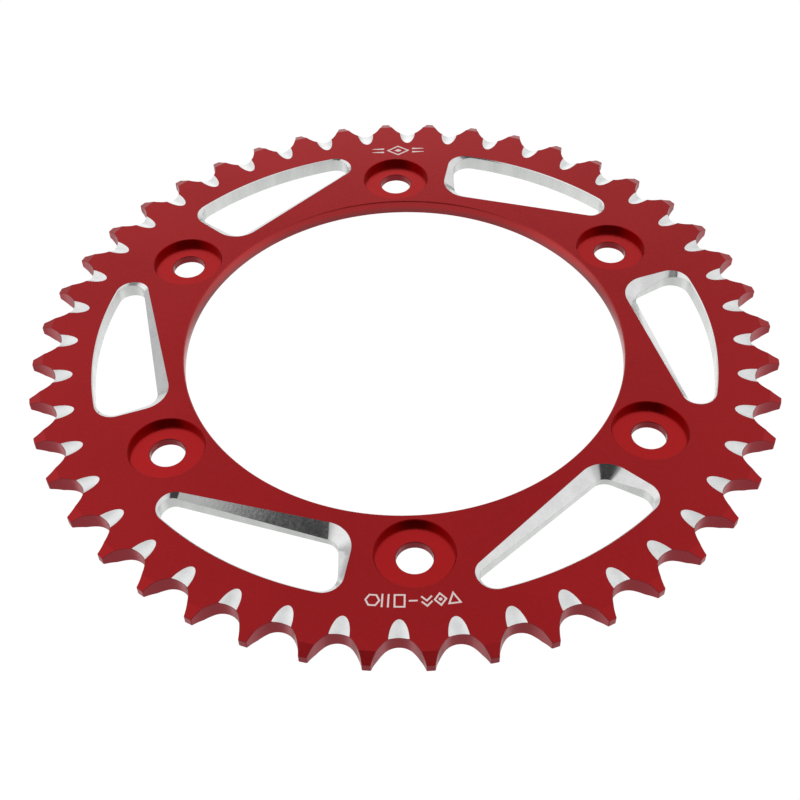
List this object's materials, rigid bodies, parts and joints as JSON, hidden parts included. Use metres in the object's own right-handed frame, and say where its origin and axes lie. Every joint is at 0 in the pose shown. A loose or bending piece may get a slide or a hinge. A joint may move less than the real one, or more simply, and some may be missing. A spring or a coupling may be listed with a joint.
{
  "type": "rear chain sprocket",
  "caption": "Flat one-piece aluminium chain sprocket with a large central bore, counterbored bolt holes, raked lightening windows and a mud groove at the root of each tooth space.",
  "frame": {"origin": "centre of the hub bore on the back face, the face that lies against the hub", "axes": "+Z along the bore axis from the back face out through the counterbored face; +Y through one bolt hole"},
  "size_m": [0.2278, 0.2278, 0.0052],
  "materials": {
    "red_anodised_aluminium": "satin red anodised over a fine blasted face, with the window walls and the mud grooves machined afterwards and left bare"
  },
  "bodies": {
    "root": {"sprocket": "red_anodised_aluminium"}
  },
  "joints": []
}
